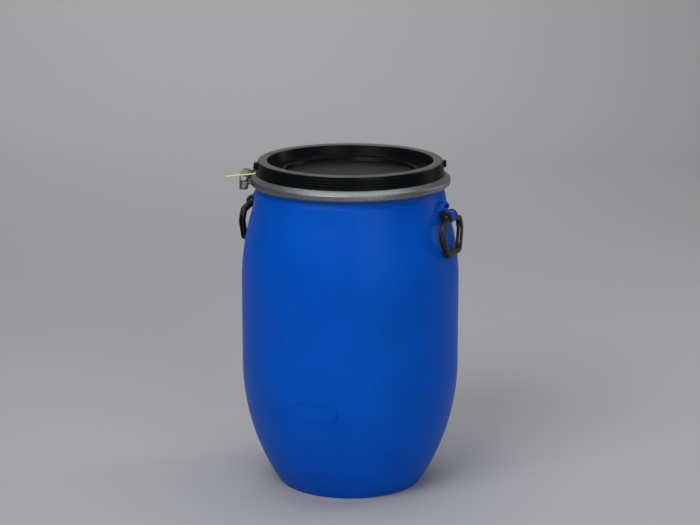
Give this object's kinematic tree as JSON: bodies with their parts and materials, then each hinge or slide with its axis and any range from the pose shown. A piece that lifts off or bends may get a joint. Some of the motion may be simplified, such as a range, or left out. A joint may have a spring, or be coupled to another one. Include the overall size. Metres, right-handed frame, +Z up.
{
  "type": "open head drum",
  "caption": "Barrel-shaped moulded storage drum with a recessed lift-off lid, a split clamp ring with a toggle lever, a pull seal and swinging side handles.",
  "frame": {"origin": "drum axis at the plane that the foot ring stands on", "axes": "+Z up along the drum's axis, +X to the right with the latch at the left (-X), +Y to the back"},
  "size_m": [0.4313, 0.4, 0.6053],
  "materials": {
    "body_blue": "satin moulded polyethylene",
    "lid_black": "satin moulded polyethylene",
    "seal_rubber": "matt rubber",
    "ring_steel": "galvanised sheet",
    "latch_steel": "zinc plated",
    "pin_steel": "bright zinc plated",
    "seal_yellow": "translucent nylon strap",
    "handle_black": "satin moulded"
  },
  "bodies": {
    "drum": {"drum_body": "body_blue", "handle_pin_right": "pin_steel", "handle_pin_left": "pin_steel"},
    "lid": {"lid": "lid_black", "lid_gasket": "seal_rubber"},
    "ring_front": {"clamp_band_front": "ring_steel", "lever_bracket": "latch_steel", "lever_pin": "pin_steel", "front_rivets": "pin_steel", "sealing_hasp": "latch_steel"},
    "ring_rear": {"clamp_band_rear": "ring_steel", "hook_bracket": "latch_steel", "hook_pin": "pin_steel", "rear_rivets": "pin_steel"},
    "lever": {"closing_lever": "latch_steel", "link_pin": "pin_steel", "pull_seal": "seal_yellow"},
    "link": {"toggle_link": "latch_steel"},
    "handle_right": {"handle_right": "handle_black"},
    "handle_left": {"handle_left": "handle_black"}
  },
  "joints": [
    {"name": "lid_lift", "type": "slide", "parent": "drum", "child": "lid", "axis": [0, 0, 1], "range_m": [0, 0.25]},
    {"name": "ring_lift", "type": "slide", "parent": "drum", "child": "ring_front", "axis": [0, 0, 1], "range_m": [0, 0.36], "deforming": ["clamp_band_front", "clamp_band_rear"]},
    {"name": "ring_spread", "type": "hinge", "parent": "ring_front", "child": "ring_rear", "pos_m": [0.17634, -0.0489, 0.56875], "axis": [0, 0, -1], "range_deg": [0, 2.83]},
    {"name": "lever_open", "type": "hinge", "parent": "ring_front", "child": "lever", "pos_m": [-0.19093, 0.03711, 0.568], "axis": [0, 0, -1], "range_deg": [0, 160]},
    {"name": "link_swing", "type": "hinge", "parent": "lever", "child": "link", "pos_m": [-0.1871, 0.02272, 0.568], "axis": [0, 0, 1], "range_deg": [0, 132.95]},
    {"name": "handle_right_swing", "type": "hinge", "parent": "drum", "child": "handle_right", "pos_m": [0.17738, -0.07347, 0.515], "axis": [-0.3827, -0.9239, 0], "range_deg": [0, 110]},
    {"name": "handle_left_swing", "type": "hinge", "parent": "drum", "child": "handle_left", "pos_m": [-0.17738, 0.07347, 0.515], "axis": [0.3827, 0.9239, 0], "range_deg": [0, 110]}
  ],
  "couplings": [
    {"joint": "ring_spread", "follows": "lever_open", "ratio": 0.017375},
    {"joint": "link_swing", "follows": "lever_open", "ratio": 0.82781}
  ]
}
